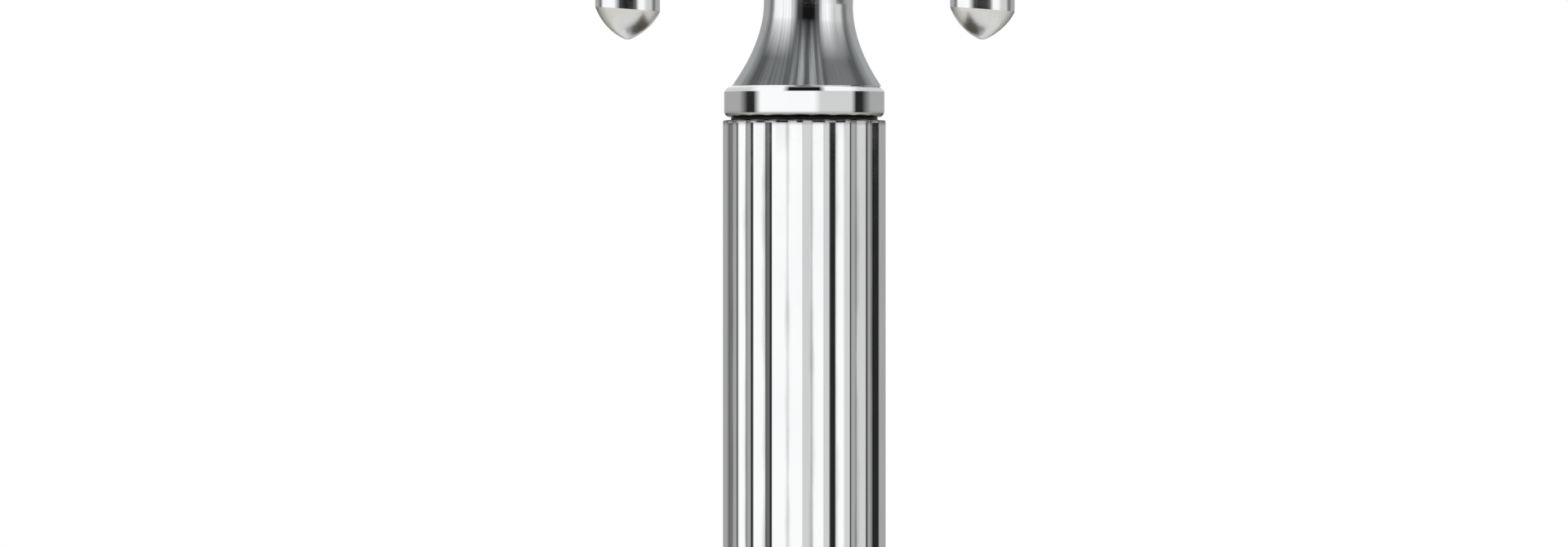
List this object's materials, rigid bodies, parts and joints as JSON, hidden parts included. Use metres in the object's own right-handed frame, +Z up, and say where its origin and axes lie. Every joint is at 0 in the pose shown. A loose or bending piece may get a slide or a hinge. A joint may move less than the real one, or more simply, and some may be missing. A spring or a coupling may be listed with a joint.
{
  "type": "razor stand",
  "caption": "Chrome razor stand: weighted round base, fluted column, ring collar, flared neck, and a swivelling fork whose tines end in pointed drop finials.",
  "frame": {"origin": "on the table, under the column's axis, at the middle of the base's underside", "axes": "+Z up along the column, the fork points along -Y, +X to the right seen from the front"},
  "size_m": [0.076, 0.076, 0.1351],
  "materials": {
    "chrome_plate": "polished, slightly worn in the flutes",
    "stainless": "turned",
    "spring_steel": "dark oiled",
    "zinc_plate": "zinc plated",
    "cast_iron": "as cast",
    "rubber_pad": "matt",
    "brass": "turned",
    "black_fibre": "matt",
    "nylon": "natural"
  },
  "bodies": {
    "stand": {"foot_pad": "rubber_pad", "base_plate": "zinc_plate", "base_weight": "cast_iron", "base_shell": "chrome_plate", "base_bolt": "stainless", "bolt_washer": "stainless", "spring_washer": "spring_steel", "foot_ferrule": "chrome_plate", "lower_collar": "chrome_plate", "lower_washer": "black_fibre", "lower_plug": "brass", "column_tube": "chrome_plate", "upper_plug": "brass", "thrust_washer": "black_fibre"},
    "head": {"upper_collar": "chrome_plate", "neck": "chrome_plate", "hub": "chrome_plate", "head_stud": "stainless", "friction_washer": "nylon", "wave_washer": "spring_steel", "lock_nut": "stainless", "left_tine": "chrome_plate", "right_tine": "chrome_plate", "left_finial": "chrome_plate", "right_finial": "chrome_plate", "cap_finial": "chrome_plate"}
  },
  "joints": [
    {"name": "head_swivel", "type": "hinge", "parent": "stand", "child": "head", "pos_m": [0, 0, 0.112], "axis": [0, 0, 1], "continuous": true}
  ]
}
